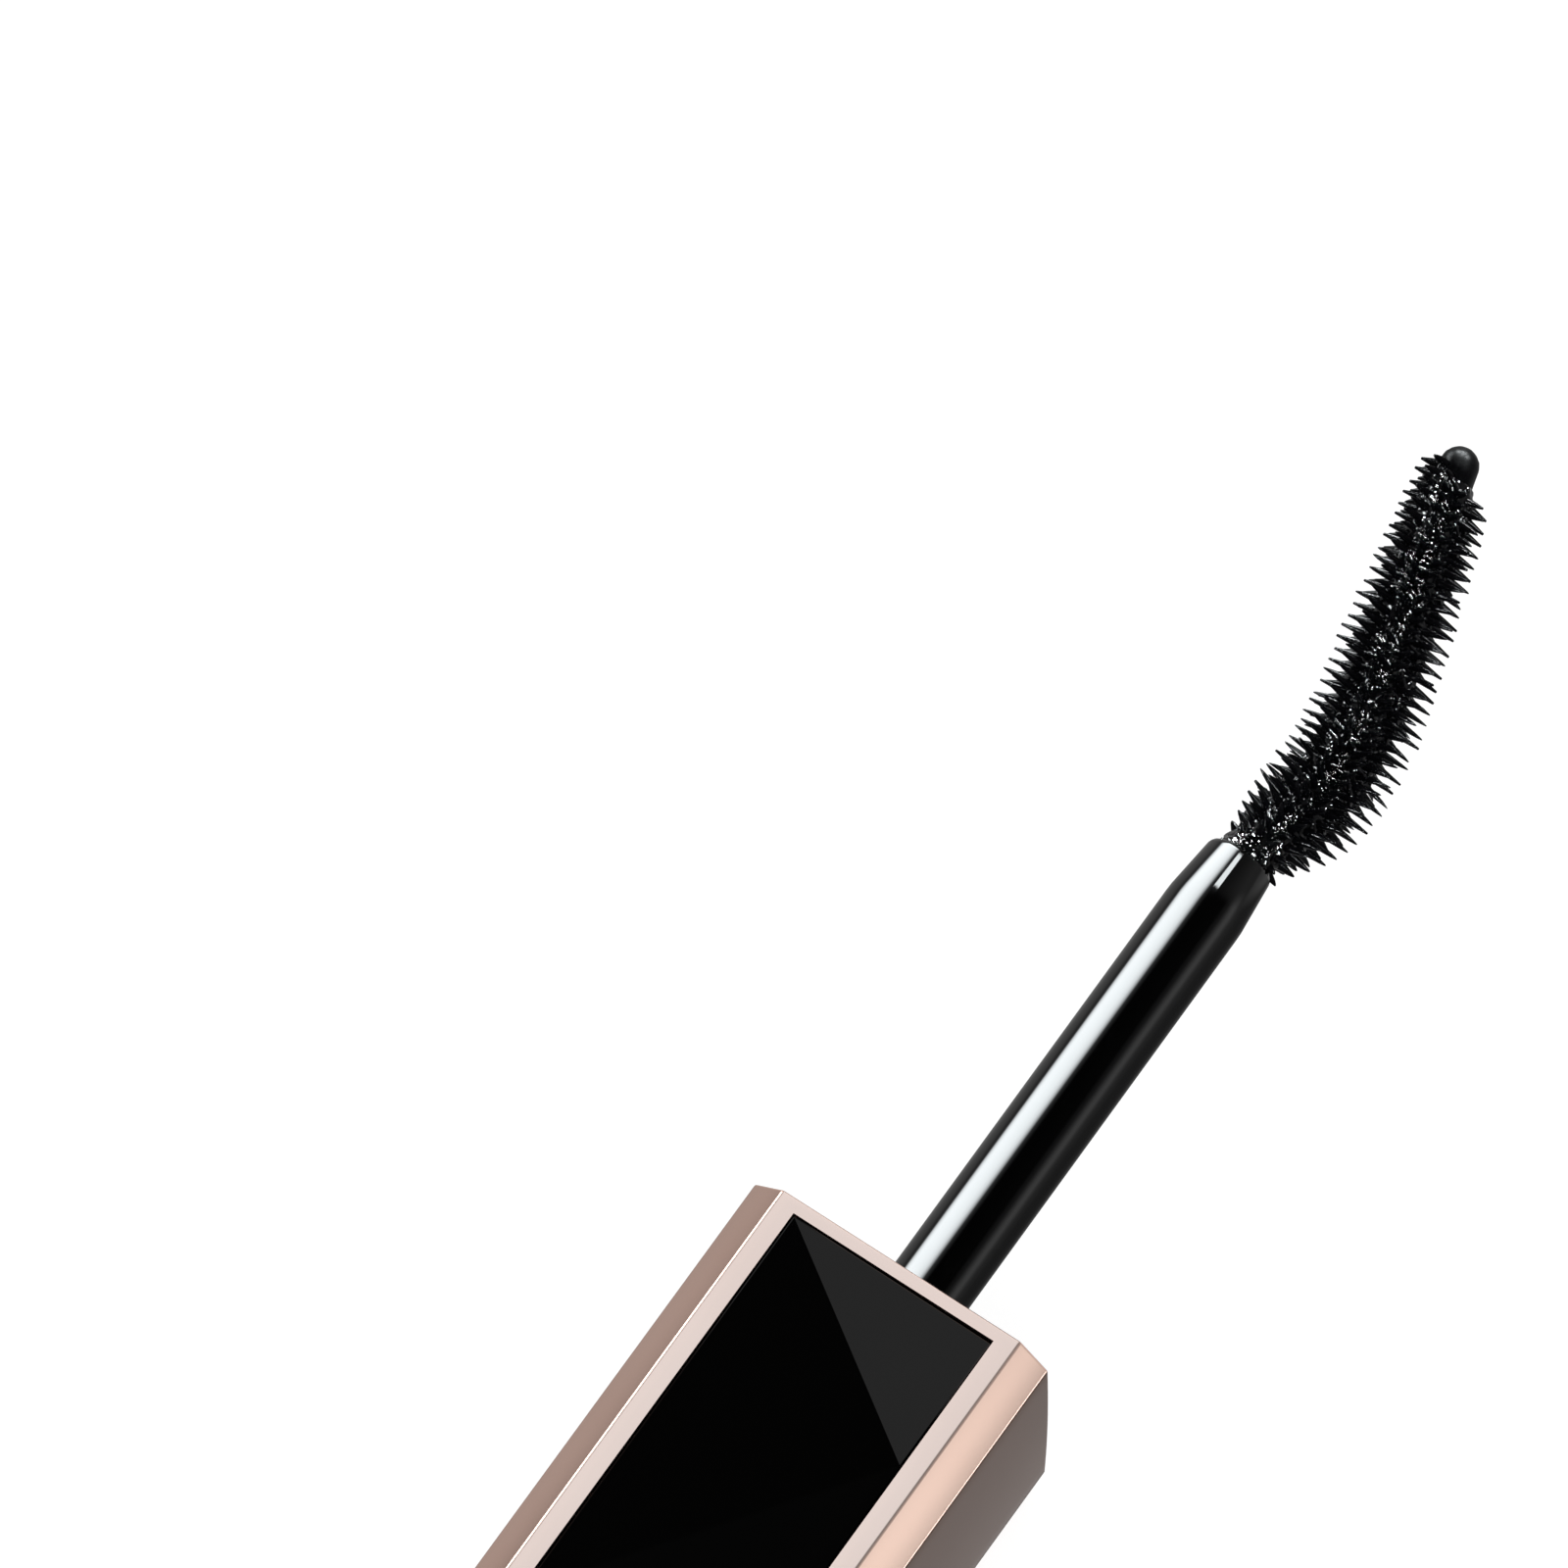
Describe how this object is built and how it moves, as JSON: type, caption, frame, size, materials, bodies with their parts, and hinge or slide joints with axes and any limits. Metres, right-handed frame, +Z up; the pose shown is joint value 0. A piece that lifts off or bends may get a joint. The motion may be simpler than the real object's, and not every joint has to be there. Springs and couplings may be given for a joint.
{
  "type": "mascara tube",
  "caption": "Square mascara tube lying open: chamfered metallic cap with rod and curved moulded brush, and the bottle it screws into.",
  "frame": {"origin": "centre of the bounding box at its lowest face, on the surface that the tube lies on", "axes": "+X along the tube from the cap's closed end, past the brush tip, to the bottle's base; +Z up, out of the black front panels; +Y completes a right-handed frame"},
  "size_m": [0.2044, 0.018, 0.018],
  "materials": {
    "cap_metal": "satin rose gold",
    "bottle_metal": "satin rose gold",
    "panel_gloss": "glossy black, faceted",
    "liner_plastic": "moulded black",
    "weight_steel": "turned steel",
    "rod_gloss": "polished black",
    "gasket_rubber": "soft black",
    "brush_elastomer": "moulded black, wet with formula",
    "wiper_rubber": "soft dark grey",
    "formula": "wet black",
    "label_paper": "blank sticker"
  },
  "bodies": {
    "bottle": {"bottle_shell": "bottle_metal", "bottle_front_panel": "panel_gloss", "inner_bottle": "liner_plastic", "neck_collar": "bottle_metal", "wiper": "wiper_rubber", "mascara_fill": "formula", "base_plug": "bottle_metal", "base_label": "label_paper"},
    "gasket": {"gasket": "gasket_rubber"},
    "weight": {"cap_weight": "weight_steel"},
    "wand": {"cap_shell": "cap_metal", "cap_front_panel": "panel_gloss", "inner_cap": "liner_plastic", "rod": "rod_gloss", "brush": "brush_elastomer"}
  },
  "joints": [
    {"name": "wand_insert", "type": "slide", "parent": "bottle", "child": "gasket", "axis": [1, 0, 0], "range_m": [0, 0.087], "deforming": ["brush", "wiper"]},
    {"name": "thread_lift", "type": "slide", "parent": "gasket", "child": "weight", "axis": [-1, 0, 0], "range_m": [0, 0.0036]},
    {"name": "cap_turn", "type": "hinge", "parent": "weight", "child": "wand", "pos_m": [-0.07, 0, 0.009], "axis": [-1, 0, 0], "range_deg": [0, 540]}
  ],
  "couplings": [
    {"joint": "thread_lift", "follows": "cap_turn", "m_per_rad": 0.0003819}
  ]
}
